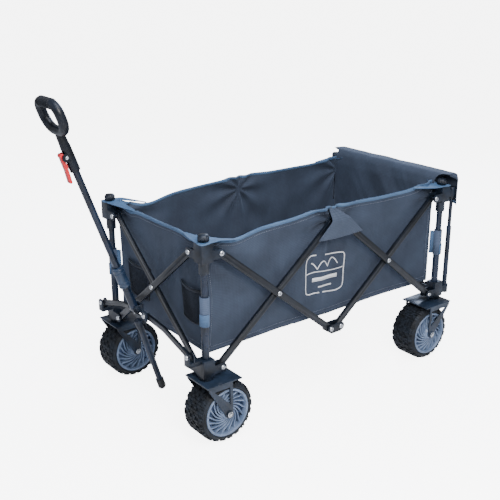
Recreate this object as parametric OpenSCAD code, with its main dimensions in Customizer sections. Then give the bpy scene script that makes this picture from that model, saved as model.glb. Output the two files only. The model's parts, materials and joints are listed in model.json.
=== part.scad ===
// Folding camp wagon: gather-fold scissor frame on telescoping corner posts, fabric basket,
// two swivelling front wheels, two fixed rear wheels and a telescoping pull handle.
// Frame: +X forward to the handle, +Y to the wagon's left, +Z up. The origin is on the ground
// under the middle of the whole wagon, handle included. Units are millimetres.

/* [Frame] */
// Distance between the front and rear post axes
post_span_x = 950; // [800:10:1140]
// Distance between the left and right post axes
post_span_y = 500; // [420:5:600]
// Height of the lower bar pivots above the ground
pivot_low_z = 222; // [216:1:266]
// Height of the upper bar pivots above the ground
pivot_high_z = 557; // [520:1:668]
// Distance from a post axis to the bar pivots on its corner castings
arm_pivot = 45; // [40:1:54]
// Half the distance between the two pivots of a centre link
link_half = 20; // [17:1:24]

/* [Bars and pins] */
// Height of a scissor bar's flat-oval tube
bar_width = 20; // [16.5:0.5:24]
// Thickness of a scissor bar
bar_thick = 9; // [8:0.5:11]
// Wall of a scissor bar's tube
bar_wall = 1.5; // [1:0.1:2]
// Free gap between two bars that cross
lane_gap = 2; // [1:0.5:4]
// Diameter of the pivot rivets
pin_d = 8; // [6:0.5:9]
// Diameter of a rivet head
head_d = 14; // [12:0.5:16]
// Height of a rivet head
head_h = 2.5; // [1.5:0.5:3.5]
// Thickness of the cheeks that hold the bars
cheek_thick = 3; // [2:0.5:4]
// Free gap between a bar and a cheek
cheek_gap = 1.5; // [1:0.5:2]
// Radial clearance of a pin that turns in its hole
run_gap = 0.05; // [0.02:0.01:0.1]
// Radial clearance at the pivots that close the linkage
loop_gap = 0.5; // [0.3:0.1:0.8]

/* [Posts] */
// Outer diameter of the lower post tube
post_d = 22; // [20:0.5:26]
// Outer diameter of the sliding upper post
rod_d = 19; // [17:0.5:19]
// Height of the top end of the lower post tube
post_top_z = 440; // [420:1:480]
// Distance of the rear guide posts behind the rear post axes
guide_offset = 55; // [48:1:66]
// Outer diameter of the rear guide tube
guide_d = 16; // [15:0.5:18]
// Outer diameter of the rod inside the guide tube
guide_rod_d = 12; // [10:0.5:13]
// Wall of the sliding upper posts
rod_wall = 1.5; // [1:0.1:2.5]
// Diameter of the hand knob on each post
knob_d = 28; // [24:1:32]
// Height of the hand knob
knob_h = 17; // [12:1:20]

/* [Wheels] */
// Outer diameter of a tyre
wheel_d = 186; // [155:1:186]
// Width of a tyre
tyre_width = 98; // [80:1:104]
// Diameter of the hub that the tyre sits on
hub_d = 144; // [118:1:146]
// Rounding of the tyre's shoulders
shoulder_r = 12; // [6:1:14]
// Distance of a front axle behind its swivel axis
trail_front = 40; // [33:1:48]
// Distance of a rear axle in front of its post
lead_rear = 62; // [50:1:70]
// Diameter of a wheel axle
axle_d = 12; // [10:0.5:13]
// Thickness of the fork plates
fork_thick = 4; // [3:0.5:5]

/* [Handle] */
// Distance of the handle hinge in front of the front post axes
handle_x = 73; // [70:1:80]
// Height of the handle hinge above the ground
handle_z = 340; // [336:1:350]
// Lean of the handle from upright
handle_lean = 19.7; // [10:0.1:30]
// Diameter of the handle's lower tube
outer_d = 24; // [23:0.5:25]
// Diameter of the handle's sliding upper tube
inner_d = 19; // [17:0.5:19.5]
// Length from the hinge to the middle of the grip's top bar
handle_reach = 651; // [540:1:785]
// Width of the grip loop between its bar centres
grip_width = 108; // [90:1:130]
// Height of the grip loop between its bar centres
grip_height = 78; // [70:1:90]
// Diameter of the grip's bar
grip_d = 26; // [22:1:28]

/* [Basket] */
// Height of the cargo floor's underside
basket_floor_z = 256; // [253:1:275]
// Height of the basket's rim
basket_rim_z = 600; // [540:1:700]
// Height of the rear panel where it hangs over the guide posts
rear_rim_z = 628; // [620:1:740]
// Thickness of the basket walls
basket_wall = 4; // [3:0.5:6]
// Thickness of the basket floor
basket_floor = 6; // [4:1:10]
// Gap between the basket and the post axes' planes
basket_inset = 18; // [18:1:24]

/* [Hidden] */
$fn = 48;
eps = 0.01;

// Plan positions
grip_top = handle_reach + grip_d / 2;
front_reach = post_span_x / 2 + handle_x + grip_top * sin(handle_lean);
drape_reach = guide_offset + 18;
rear_reach = post_span_x / 2 + drape_reach;
x_mid = -(front_reach - rear_reach) / 2;
front_x = x_mid + post_span_x / 2;
rear_x = x_mid - post_span_x / 2;
side_y = post_span_y / 2;

// Lanes of the bars, measured outwards from the plane of the post axes
lane_in = 0;
lane_out = bar_thick + lane_gap;
cheek_in = lane_in - bar_thick / 2 - cheek_gap;
cheek_out = lane_out + bar_thick / 2 + cheek_gap;
face_in = cheek_in - cheek_thick;
face_out = cheek_out + cheek_thick;
pin_r = pin_d / 2;
hole_r = pin_r + run_gap;
loop_r = pin_r + loop_gap;

// Bars
side_run = post_span_x / 2 - arm_pivot - link_half;
end_run = post_span_y - 2 * arm_pivot;
rise = pivot_high_z - pivot_low_z;
side_len = sqrt(side_run * side_run + rise * rise);
end_len = sqrt(end_run * end_run + rise * rise);
side_angle = atan2(rise, side_run);
end_angle = atan2(rise, end_run);
eye_r = bar_width / 2;

// Corner castings
block_in = -17;
arm_half = eye_r + 3;
low_bottom_z = pivot_low_z - 18;
low_top_z = pivot_low_z + 34;
top_bottom_z = pivot_high_z - 19;
top_top_z = pivot_high_z + 35;
sleeve_z = top_bottom_z - 33;
sleeve_r = post_d / 2 + 3.5;
swivel_z = low_bottom_z - 9.5;
swivel_r = 20;
rod_bottom_z = low_bottom_z + 3;
knob_z = top_top_z + 4;
cap_thick = 4;
link_web = 3.5;
knob_edge = 4;
tie_half = 10;
tie_h = 22;
guide_grip = 36;

// Wheels and forks
wheel_r = wheel_d / 2;
axle_r = axle_d / 2;
fork_in = tyre_width / 2 + 2;
plate_top = swivel_z;
plate_gap = 0.4;
plate_bottom = plate_top - fork_thick - plate_gap;
stem_r = 6;
plate_far_front = 32;
plate_far_rear = 26;
plate_near_front = 84;
plate_near_rear = 92;
leg_eye = 13;
nut_h = 5;
bolt_end = 7;
hub_inset = 7;
hub_wall = 5;
web_inset = 8;
hub_boss = 11;

// Front arms and coupler
arm_lane = 48;
lug_r = 12;
lug_thick = 4;
lug_dy = -7;
lug_z = pivot_low_z + 50;
coupler_dy = 24;
knee_dy = 92;
knee_drop = 9;
arm_width = 15;
washer_r = 7;
washer_h = 2.5;
coupler_half = 38;
neck_half = 17;
ear_gap = 0.6;
hinge_r = 5;
coupler_z = lug_z + 46;
slot_reach = 33;
plate_x = front_x + arm_lane + bar_thick / 2 + 1;
plate_thick = 5;
hinge_x = front_x + handle_x;
leg_top = [hinge_x - 9, 0, coupler_z - 18];
leg_foot = [front_x - 8, 0, 64];
leg_r = 9;

// Handle stations, measured from the hinge along the tube
tube_end = handle_reach - grip_height - 116;
collar_low = 80;
collar_high = 146;
inner_low = 90;
bend_bottom = grip_height / 2;
bend_top = 26;
trigger_s = tube_end + 45;
trigger_n = 12;
ear_r = 12;
trigger_half = 7.5;
trigger_pin = 3;

// ---------- shared shapes ----------

// Stands a +Z shape at p, pointing to q
module along(p, q) {
    d = q - p;
    translate(p)
        rotate([0, acos(d[2] / norm(d)), atan2(d[1], d[0])])
            children();
}

// A straight round rod from p to q
module rod(p, q, r) {
    along(p, q) cylinder(r = r, h = norm(q - p));
}

// A rivet along +Y from y0 to y1 between its heads
module rivet_y(y0, y1) {
    translate([0, y0 - head_h, 0]) rotate([-90, 0, 0]) {
        cylinder(d1 = head_d - 4, d2 = head_d, h = head_h);
        cylinder(r = pin_r, h = y1 - y0 + 2 * head_h);
        translate([0, 0, y1 - y0 + head_h]) cylinder(d1 = head_d, d2 = head_d - 4, h = head_h);
    }
}

// A scissor bar's tube lying along +X, its thickness on Y, with holes at both ends and the middle
module bar_tube(len, hole_start, hole_mid, hole_end) {
    difference() {
        rotate([90, 0, 0]) linear_extrude(bar_thick, center = true) difference() {
            union() {
                translate([0, -eye_r]) square([len, bar_width]);
                circle(r = eye_r);
                translate([len, 0]) circle(r = eye_r);
            }
            circle(r = hole_start);
            translate([len / 2, 0]) circle(r = hole_mid);
            translate([len, 0]) circle(r = hole_end);
        }
        translate([-bar_width, -bar_thick / 2 + bar_wall, -eye_r + bar_wall])
            cube([len + 2 * bar_width, bar_thick - 2 * bar_wall, bar_width - 2 * bar_wall]);
    }
}

// The rivet that joins a crossing pair, carried by the outer bar
module crossing_rivet(len) {
    translate([len / 2, 0, 0])
        rivet_y(-lane_out - bar_thick / 2 - run_gap * 4, bar_thick / 2);
}

// Puts a +Y-outward shape of the front left corner on any corner
module at_corner(fore, left) {
    translate([fore > 0 ? front_x : rear_x, left * side_y, 0])
        mirror([fore > 0 ? 0 : 1, 0, 0])
            mirror([0, left > 0 ? 0 : 1, 0])
                children();
}

// Swaps a corner's side arm into its end arm
module as_end_arm() {
    mirror([1, -1, 0]) children();
}

// Two cheeks and the rivet that hold the bars of one side at height z
module corner_arm(z) {
    for (y0 = [face_in, cheek_out]) {
        translate([0, y0 + cheek_thick, z]) rotate([90, 0, 0]) linear_extrude(cheek_thick) {
            translate([-arm_pivot, -arm_half]) square([arm_pivot + block_in + eps, 2 * arm_half]);
            translate([-arm_pivot, 0]) circle(r = arm_half);
        }
    }
    translate([-arm_pivot, 0, z]) rivet_y(face_in, face_out);
}

// The square body of a corner casting between two heights, with a bore for the post
module corner_block(z0, z1, bore_r, bore_from) {
    difference() {
        translate([block_in, block_in, z0])
            cube([face_out - block_in, face_out - block_in, z1 - z0]);
        translate([0, 0, bore_from]) cylinder(r = bore_r, h = z1 - bore_from + 1);
    }
}

// ---------- corner castings ----------

module corner_low_body() {
    corner_block(low_bottom_z, low_top_z, post_d / 2 + run_gap, rod_bottom_z);
    corner_arm(pivot_low_z);
    as_end_arm() corner_arm(pivot_low_z);
    translate([0, 0, swivel_z]) cylinder(r = swivel_r, h = low_bottom_z - swivel_z + eps);
}

// Lug for the handle arm, and the stem that the front fork swivels on
module corner_low_front() {
    corner_low_body();
    nut_z = plate_bottom - plate_gap - nut_h;
    lug_in = arm_lane - bar_thick / 2 - cheek_gap - lug_thick;
    lug_out = arm_lane + bar_thick / 2 + cheek_gap;
    translate([0, 0, nut_z]) cylinder(r = stem_r, h = low_bottom_z - nut_z);
    translate([0, 0, nut_z]) cylinder(r = stem_r + 4, h = nut_h);
    translate([face_out - eps, lug_dy - lug_r, low_top_z - lug_r])
        cube([lug_out + lug_thick - face_out + eps, 2 * lug_r, lug_r]);
    for (x0 = [lug_in, lug_out]) {
        translate([x0, lug_dy, 0]) rotate([90, 0, 90]) linear_extrude(lug_thick) {
            translate([-lug_r, low_top_z - 1]) square([2 * lug_r, lug_z - low_top_z + 1]);
            translate([0, lug_z]) circle(r = lug_r);
        }
    }
    translate([0, lug_dy, lug_z]) rotate([0, 0, -90]) rivet_y(lug_in, lug_out + lug_thick);
}

// Socket for the guide tube behind a rear post
module corner_low_rear() {
    corner_low_body();
    difference() {
        union() {
            translate([face_out - eps, -tie_half, rod_bottom_z])
                cube([guide_offset - face_out, 2 * tie_half, tie_h]);
            translate([guide_offset, 0, low_bottom_z]) cylinder(r = guide_d / 2 + 4, h = tie_h + 6);
        }
        translate([guide_offset, 0, rod_bottom_z]) cylinder(d = guide_d + 2 * run_gap, h = 2 * tie_h);
    }
}

module corner_top_body() {
    corner_block(top_bottom_z, top_top_z - cap_thick, rod_d / 2 + run_gap, top_bottom_z - 1);
    translate([block_in, block_in, top_top_z - cap_thick])
        cube([face_out - block_in, face_out - block_in, cap_thick]);
    corner_arm(pivot_high_z);
    as_end_arm() corner_arm(pivot_high_z);
    difference() {
        translate([0, 0, sleeve_z]) cylinder(r = sleeve_r, h = top_bottom_z - sleeve_z + eps);
        translate([0, 0, sleeve_z - 1]) cylinder(r = rod_d / 2 + run_gap, h = 60);
    }
    translate([0, 0, top_top_z - eps]) cylinder(r = 6, h = knob_z - top_top_z + 2 * eps);
    translate([0, 0, knob_z]) {
        cylinder(d = knob_d, h = knob_h - knob_edge);
        translate([0, 0, knob_h - knob_edge])
            cylinder(d1 = knob_d, d2 = knob_d - 2 * knob_edge, h = knob_edge);
    }
}

// Arm that carries the guide rod behind a rear post
module corner_top_rear() {
    corner_top_body();
    difference() {
        union() {
            translate([face_out - eps, -tie_half, top_bottom_z + 10])
                cube([guide_offset - face_out, 2 * tie_half, tie_h]);
            translate([guide_offset, 0, top_bottom_z])
                cylinder(r = guide_rod_d / 2 + 5, h = guide_grip + 4);
        }
        translate([guide_offset, 0, top_bottom_z - 1])
            cylinder(d = guide_rod_d + 2 * run_gap, h = guide_grip + 1);
    }
}

module corner_low(fore, left) {
    color("#2b2d31") at_corner(fore, left) {
        if (fore > 0) corner_low_front();
        if (fore < 0) corner_low_rear();
    }
}

module corner_top(fore, left) {
    color("#2b2d31") at_corner(fore, left) {
        if (fore > 0) corner_top_body();
        if (fore < 0) corner_top_rear();
    }
}

// ---------- posts ----------

module post_tube(fore, left) {
    color("#1c2028") at_corner(fore, left) difference() {
        translate([0, 0, rod_bottom_z]) cylinder(d = post_d, h = post_top_z - rod_bottom_z);
        translate([0, 0, rod_bottom_z - 1]) cylinder(r = rod_d / 2 + run_gap, h = post_top_z);
    }
}

module post_rod(fore, left) {
    color("#232833") at_corner(fore, left) difference() {
        translate([0, 0, rod_bottom_z + 1])
            cylinder(d = rod_d, h = top_top_z - cap_thick - rod_bottom_z - 1);
        translate([0, 0, rod_bottom_z]) cylinder(r = rod_d / 2 - rod_wall, h = pivot_high_z);
    }
}

module guide_tube(left) {
    color("#1c2028") at_corner(-1, left) translate([guide_offset, 0, 0]) difference() {
        translate([0, 0, rod_bottom_z]) cylinder(d = guide_d, h = post_top_z - rod_bottom_z);
        translate([0, 0, low_bottom_z]) cylinder(r = guide_rod_d / 2 + run_gap, h = post_top_z);
    }
}

module guide_rod(left) {
    color("#232833") at_corner(-1, left) translate([guide_offset, 0, rod_bottom_z + 1])
        cylinder(d = guide_rod_d, h = top_bottom_z + guide_grip - rod_bottom_z - 1);
}

// ---------- scissor bars ----------

// A side bar between a corner pivot and a centre link pivot: end is 1 at the front and -1 at the
// rear, low_at_link is true when its lower end is on the link, lane is its distance outwards
module side_bar(left, end, low_at_link, lane, hole_link, hole_corner) {
    corner_x = (end > 0 ? front_x : rear_x) - end * arm_pivot;
    link_x = x_mid + end * link_half;
    z0 = low_at_link ? pivot_low_z : pivot_high_z;
    tilt = low_at_link ? side_angle : -side_angle;
    color("#14171d")
        translate([link_x, left * (side_y + lane), z0])
            mirror([end > 0 ? 0 : 1, 0, 0]) mirror([0, left > 0 ? 0 : 1, 0]) rotate([0, -tilt, 0]) {
                bar_tube(side_len, hole_link, lane > 0 ? pin_r : hole_r, hole_corner);
                if (lane > 0) crossing_rivet(side_len);
            }
}

// An end bar from a left corner's pivot at height z0 to the right corner's other pivot
module end_bar(fore, from_top, lane, hole_left, hole_right) {
    z0 = from_top ? pivot_high_z : pivot_low_z;
    tilt = from_top ? -end_angle : end_angle;
    color("#14171d")
        translate([(fore > 0 ? front_x : rear_x) + fore * lane, side_y - arm_pivot, z0])
            mirror([fore > 0 ? 0 : 1, 0, 0]) rotate([0, 0, -90]) rotate([0, -tilt, 0]) {
                bar_tube(end_len, hole_left, lane > 0 ? pin_r : hole_r, hole_right);
                if (lane > 0) crossing_rivet(end_len);
            }
}

// A centre link: two cheeks, a web beyond the bar ends and two rivets
module centre_link(left, top) {
    up = top ? 1 : -1;
    color("#2b2d31")
        translate([x_mid, left * side_y, top ? pivot_high_z : pivot_low_z])
            mirror([0, left > 0 ? 0 : 1, 0]) {
                for (y0 = [face_in, cheek_out]) {
                    translate([-link_half, y0, -arm_half]) cube([2 * link_half, cheek_thick, 2 * arm_half]);
                    for (s = [-1, 1])
                        translate([s * link_half, y0, 0]) rotate([-90, 0, 0])
                            cylinder(r = arm_half, h = cheek_thick);
                }
                translate([-link_half, face_in, up * (arm_half + 1) - link_web / 2])
                    cube([2 * link_half, face_out - face_in, link_web]);
                for (s = [-1, 1]) translate([s * link_half, 0, 0]) rivet_y(face_in, face_out);
            }
}

// ---------- wheels ----------

function axle_x(fore) = fore > 0 ? front_x - trail_front : rear_x + lead_rear;

// Fork: a plate over the tyre, two pierced legs and the axle bolt. The axle is this far behind
// the swivel axis at the front, and this far in front of the post at the rear.
module fork(fore, left) {
    back = fore > 0 ? trail_front : lead_rear;
    top = fore > 0 ? plate_top - plate_gap : plate_top;
    far = fore > 0 ? plate_far_front : plate_far_rear;
    near = fore > 0 ? plate_near_front : plate_near_rear;
    color("#3a4048") translate([fore > 0 ? front_x : rear_x, left * side_y, 0])
        mirror([fore > 0 ? 0 : 1, 0, 0]) {
            difference() {
                translate([-near, -fork_in - fork_thick, top - fork_thick])
                    cube([near + far, 2 * (fork_in + fork_thick), fork_thick]);
                if (fore > 0)
                    translate([0, 0, top - 10]) cylinder(r = stem_r + run_gap, h = 20);
            }
            for (s = [-1, 1])
                translate([0, s * (fork_in + fork_thick / 2) + fork_thick / 2, 0]) rotate([90, 0, 0])
                    linear_extrude(fork_thick) fork_leg_outline(back, top, far);
            translate([-back, 0, wheel_r]) rotate([90, 0, 0]) {
                cylinder(r = axle_r, h = 2 * (fork_in + fork_thick + bolt_end), center = true);
                for (s = [-1, 1])
                    translate([0, 0, s * (fork_in + fork_thick + nut_h / 2)])
                        cylinder(r = axle_r + 4, h = nut_h, center = true);
            }
        }
}

// Outline of a fork leg in the XZ plane: wide at the plate, tapering to the axle, with a window
module fork_leg_outline(back, top, far) {
    shoulder = top - fork_thick / 2;
    window_top = top - 18;
    difference() {
        union() {
            polygon([[-back - leg_eye, wheel_r], [-back - leg_eye, wheel_r + 6], [-back - 12, shoulder],
                [far - 4, shoulder], [far - 6, top - 14], [-back + leg_eye, wheel_r]]);
            translate([-back, wheel_r]) circle(r = leg_eye);
        }
        polygon([[-back - 4, wheel_r + 30], [-back - 3, window_top], [far - 22, window_top]]);
    }
}

module hub(fore, left) {
    hub_r = hub_d / 2 - run_gap;
    half = tyre_width / 2 - hub_inset;
    color("#8e99a8") translate([axle_x(fore), left * side_y, wheel_r]) rotate([90, 0, 0]) difference() {
        union() {
            difference() {
                cylinder(r = hub_r, h = 2 * half, center = true);
                cylinder(r = hub_r - hub_wall, h = 3 * half, center = true);
            }
            for (s = [-1, 1]) translate([0, 0, s * (half - web_inset)])
                cylinder(r = hub_r - 1, h = hub_wall, center = true);
            cylinder(r = axle_r + hub_boss, h = 2 * fork_in - 2, center = true);
        }
        cylinder(r = axle_r + run_gap, h = 200, center = true);
    }
}

module tyre(fore, left) {
    half = tyre_width / 2;
    hub_r = hub_d / 2;
    flat = half - shoulder_r;
    color("#1a1a1c") translate([axle_x(fore), left * side_y, wheel_r])
        rotate([90, 0, 0]) rotate_extrude($fn = 96) difference() {
            union() {
                translate([hub_r, -flat]) square([wheel_r - hub_r, 2 * flat]);
                translate([hub_r, -half]) square([wheel_r - hub_r - shoulder_r, 2 * half]);
                for (s = [-1, 1])
                    translate([wheel_r - shoulder_r, s * flat]) circle(r = shoulder_r);
            }
            translate([0, -half]) square([hub_r, 2 * half]);
        }
}

// ---------- handle arms and coupler ----------

// Flat arm from a front corner's lug to the coupler, in the YZ plane, bent once
module handle_arm(left, hole_inner) {
    outer = [side_y + lug_dy, lug_z];
    knee = [coupler_dy + knee_dy, coupler_z - knee_drop];
    inner = [coupler_dy, coupler_z];
    color("#14171d") translate([front_x + arm_lane - bar_thick / 2, 0, 0])
        mirror([0, left > 0 ? 0 : 1, 0]) rotate([90, 0, 90]) linear_extrude(bar_thick) difference() {
            union() {
                flat_strip(outer, knee, arm_width);
                flat_strip(knee, inner, arm_width);
            }
            translate(outer) circle(r = hole_r);
            translate(inner) circle(r = hole_inner);
        }
}

// A strip with round ends between two points of a plane
module flat_strip(a, b, w) {
    d = b - a;
    translate(a) rotate(atan2(d[1], d[0])) {
        translate([0, -w / 2]) square([norm(d), w]);
        circle(d = w);
        translate([norm(d), 0]) circle(d = w);
    }
}

module arm_left() {
    handle_arm(1, hole_r);
}

// The right arm carries the pin that slides in the coupler's slot
module arm_right() {
    handle_arm(-1, pin_r);
    x0 = front_x + arm_lane - bar_thick / 2;
    x1 = plate_x + plate_thick + 0.5;
    color("#14171d") translate([0, -coupler_dy, coupler_z]) rotate([0, 90, 0]) {
        translate([0, 0, x0]) cylinder(r = pin_r, h = x1 - x0);
        translate([0, 0, x1]) cylinder(r = washer_r, h = washer_h);
    }
}

// Slotted plate that joins the two arms and carries the handle hinge and the stand leg
module coupler() {
    color("#2b2d31") {
        difference() {
            translate([plate_x, 0, 0]) rotate([90, 0, 90]) linear_extrude(plate_thick) {
                translate([-coupler_half, coupler_z - 14]) square([2 * coupler_half, 28]);
                translate([-neck_half, coupler_z - 20])
                    square([2 * neck_half, handle_z - coupler_z + 20 + lug_r]);
            }
            translate([plate_x - 1, -coupler_dy, coupler_z]) rotate([90, 0, 90])
                linear_extrude(plate_thick + 2) {
                    circle(r = loop_r);
                    translate([slot_reach, 0]) circle(r = loop_r);
                    translate([0, -loop_r]) square([slot_reach, 2 * loop_r]);
                }
        }
        for (s = [-1, 1])
            translate([0, s * (outer_d / 2 + ear_gap + lug_thick / 2) + lug_thick / 2, 0])
                rotate([90, 0, 0]) linear_extrude(lug_thick) {
                    translate([plate_x + 1, handle_z - lug_r])
                        square([hinge_x - plate_x - 1, 2 * lug_r]);
                    translate([hinge_x, handle_z]) circle(r = lug_r);
                }
        translate([hinge_x, 0, handle_z]) rotate([90, 0, 0]) {
            cylinder(r = hinge_r, h = outer_d + 14, center = true);
            for (s = [-1, 1])
                translate([0, 0, s * (outer_d / 2 + ear_gap + lug_thick + 1.4)])
                    cylinder(r = hinge_r + 3, h = 3, center = true);
        }
        translate([0, coupler_dy, coupler_z]) rotate([0, 90, 0]) {
            x0 = front_x + arm_lane - bar_thick / 2 - 0.5;
            translate([0, 0, x0]) cylinder(r = pin_r, h = plate_x - x0 + 1);
            translate([0, 0, x0 - washer_h]) cylinder(r = washer_r, h = washer_h);
        }
        difference() {
            rod(leg_top, leg_top + 26 * leg_dir, leg_r + 3);
            rod(leg_top - leg_dir, leg_top + 30 * leg_dir, leg_r + run_gap);
            translate([plate_x - 50, -20, coupler_z - 60]) cube([50, 40, 60]);
        }
    }
}

leg_dir = (leg_foot - leg_top) / norm(leg_foot - leg_top);

module stand_leg() {
    color("#14171d") difference() {
        rod(leg_top, leg_foot, leg_r);
        rod(leg_top + 4 * leg_dir, leg_foot + leg_dir, leg_r - 1.5);
        translate([plate_x - 50 + plate_thick, -20, leg_top[2] - 12]) cube([50, 40, 30]);
    }
}

// Rubber cap over the leg's lower end
module foot_cap() {
    cap_r = leg_r + 3;
    cap_len = 29;
    color("#111214") along(leg_foot - 26 * leg_dir, leg_foot) difference() {
        union() {
            cylinder(r = cap_r, h = cap_len);
            translate([0, 0, cap_len]) cylinder(r1 = cap_r, r2 = cap_r - 3, h = 5);
            translate([0, 0, cap_len + 5]) cylinder(r1 = cap_r - 3, r2 = cap_r - 8, h = 4);
        }
        translate([0, 0, -1]) cylinder(r = leg_r + run_gap, h = 27);
    }
}

// ---------- handle ----------

// Puts a shape built up along +Z from the hinge on the leaning handle
module on_handle() {
    translate([hinge_x, 0, handle_z]) rotate([0, handle_lean, 0]) children();
}

module handle_outer() {
    color("#14171d") on_handle() difference() {
        union() {
            rotate([90, 0, 0]) cylinder(r = outer_d / 2, h = outer_d, center = true);
            cylinder(d = outer_d, h = collar_high - 6);
        }
        rotate([90, 0, 0]) cylinder(r = hinge_r + run_gap, h = 60, center = true);
        translate([0, 0, 14]) cylinder(r = inner_d / 2 + run_gap, h = collar_high);
    }
}

module handle_collar() {
    color("#5d6b82") on_handle() difference() {
        translate([0, 0, collar_low]) cylinder(r = outer_d / 2 + 4, h = collar_high - collar_low);
        translate([0, 0, collar_low - 1])
            cylinder(r = outer_d / 2 + run_gap, h = collar_high - 6 - collar_low + 1 + run_gap);
        translate([0, 0, collar_low]) cylinder(r = inner_d / 2 + run_gap, h = 100);
    }
}

module handle_inner() {
    color("#1c2028") on_handle() difference() {
        translate([0, 0, inner_low]) cylinder(d = inner_d, h = tube_end + 14 - inner_low);
        translate([0, 0, inner_low - 1]) cylinder(r = inner_d / 2 - 2, h = tube_end);
    }
}

// A quarter bend of the grip, centred on c in the loop's plane, starting at angle a
module grip_bend(c, r, a) {
    translate([0, c[0], c[1]]) rotate([90, 0, 90]) rotate([0, 0, a])
        rotate_extrude(angle = 90) translate([r, 0]) circle(d = grip_d);
}

// Closed loop grip with its neck, trigger housing and socket for the sliding tube
module grip() {
    w = grip_width / 2;
    top = handle_reach;
    low = handle_reach - grip_height;
    top_r = bend_top;
    low_r = bend_bottom;
    color("#33363c") on_handle() difference() {
        union() {
            rod([0, -w + top_r, top], [0, w - top_r, top], grip_d / 2);
            rod([0, -w + low_r, low], [0, w - low_r, low], grip_d / 2);
            for (s = [-1, 1]) rod([0, s * w, low + low_r], [0, s * w, top - top_r], grip_d / 2);
            grip_bend([w - top_r, top - top_r], top_r, 0);
            grip_bend([-w + top_r, top - top_r], top_r, 90);
            grip_bend([-w + low_r, low + low_r], low_r, 180);
            grip_bend([w - low_r, low + low_r], low_r, 270);
            translate([0, 0, tube_end + 70]) cylinder(r1 = 13.5, r2 = 11.5, h = low - tube_end - 70);
            translate([0, 0, tube_end]) cylinder(r = 14, h = 72);
            for (s = [-1, 1])
                translate([0, s * (trigger_half + 3), trigger_s]) rotate([90, 0, 0])
                    linear_extrude(4, center = true) {
                        translate([0, -ear_r]) square([trigger_n, 2 * ear_r]);
                        translate([trigger_n, 0]) circle(r = ear_r);
                    }
        }
        translate([0, 0, tube_end - 1]) cylinder(r = inner_d / 2 + run_gap, h = 15 + run_gap);
        translate([2, -trigger_half - 1, trigger_s - 22]) cube([40, 2 * trigger_half + 2, 40]);
    }
    color("#b9bcc0") on_handle() translate([trigger_n, 0, trigger_s]) rotate([90, 0, 0])
        cylinder(r = trigger_pin, h = 25, center = true);
}

// Squeeze lever that frees the sliding tube
module trigger() {
    color("#c8202a") on_handle() translate([trigger_n, 0, trigger_s])
        rotate([90, 0, 0]) linear_extrude(2 * trigger_half, center = true) difference() {
            union() {
                circle(r = 7);
                flat_strip([0, 0], [9, 9], 12);
                flat_strip([9, 9], [10, -28], 9);
                flat_strip([10, -28], [14, -66], 8);
            }
            circle(r = trigger_pin + run_gap);
        }
}

// ---------- basket ----------

// Open-topped fabric basket: floor, two sides, front, and a rear panel that hangs over the guides
module basket() {
    x0 = rear_x + basket_inset;
    x1 = front_x - basket_inset;
    y1 = side_y - basket_inset;
    drape_x = rear_x - drape_reach;
    color("#3c4250") {
        translate([x0, -y1, basket_floor_z]) cube([x1 - x0, 2 * y1, basket_floor]);
        for (y0 = [-y1, y1 - basket_wall])
            translate([x0, y0, basket_floor_z]) cube([x1 - x0, basket_wall, basket_rim_z - basket_floor_z]);
        translate([x1 - basket_wall, -y1, basket_floor_z])
            cube([basket_wall, 2 * y1, basket_rim_z - basket_floor_z]);
        translate([x0, -y1, basket_floor_z]) cube([basket_wall, 2 * y1, rear_rim_z - basket_floor_z]);
        translate([drape_x, -y1, rear_rim_z - basket_wall]) cube([x0 - drape_x + 1, 2 * y1, basket_wall]);
        translate([drape_x, -y1, rear_rim_z - 100]) cube([basket_wall, 2 * y1, 100]);
    }
}

// ---------- what is drawn ----------

corner_low(1, 1);  // corner_low_fl
corner_low(1, -1);  // corner_low_fr
corner_low(-1, 1);  // corner_low_rl
corner_low(-1, -1);  // corner_low_rr
post_tube(1, 1);  // post_tube_fl
post_tube(1, -1);  // post_tube_fr
post_tube(-1, 1);  // post_tube_rl
post_tube(-1, -1);  // post_tube_rr
corner_top(1, 1);  // corner_top_fl
corner_top(1, -1);  // corner_top_fr
corner_top(-1, 1);  // corner_top_rl
corner_top(-1, -1);  // corner_top_rr
post_rod(1, 1);  // post_rod_fl
post_rod(1, -1);  // post_rod_fr
post_rod(-1, 1);  // post_rod_rl
post_rod(-1, -1);  // post_rod_rr
guide_tube(1);  // guide_tube_rl
guide_tube(-1);  // guide_tube_rr
guide_rod(1);  // guide_rod_rl
guide_rod(-1);  // guide_rod_rr
side_bar(1, 1, true, lane_out, hole_r, hole_r);  // bar_left_front_outer
side_bar(1, 1, false, lane_in, hole_r, hole_r);  // bar_left_front_inner
side_bar(1, -1, true, lane_in, hole_r, hole_r);  // bar_left_rear_inner
side_bar(1, -1, false, lane_out, loop_r, hole_r);  // bar_left_rear_outer
side_bar(-1, 1, true, lane_out, hole_r, hole_r);  // bar_right_front_outer
side_bar(-1, 1, false, lane_in, hole_r, loop_r);  // bar_right_front_inner
side_bar(-1, -1, true, lane_in, loop_r, hole_r);  // bar_right_rear_inner
side_bar(-1, -1, false, lane_out, loop_r, loop_r);  // bar_right_rear_outer
end_bar(1, true, lane_out, hole_r, hole_r);  // bar_front_outer
end_bar(1, false, lane_in, loop_r, hole_r);  // bar_front_inner
end_bar(-1, true, lane_out, hole_r, hole_r);  // bar_rear_outer
end_bar(-1, false, lane_in, loop_r, hole_r);  // bar_rear_inner
centre_link(1, false);  // link_left_low
centre_link(1, true);  // link_left_top
centre_link(-1, false);  // link_right_low
centre_link(-1, true);  // link_right_top
fork(1, 1);  // fork_fl
fork(1, -1);  // fork_fr
fork(-1, 1);  // fork_rl
fork(-1, -1);  // fork_rr
hub(1, 1);  // hub_fl
hub(1, -1);  // hub_fr
hub(-1, 1);  // hub_rl
hub(-1, -1);  // hub_rr
tyre(1, 1);  // tyre_fl
tyre(1, -1);  // tyre_fr
tyre(-1, 1);  // tyre_rl
tyre(-1, -1);  // tyre_rr
arm_left();
arm_right();
coupler();
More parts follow.
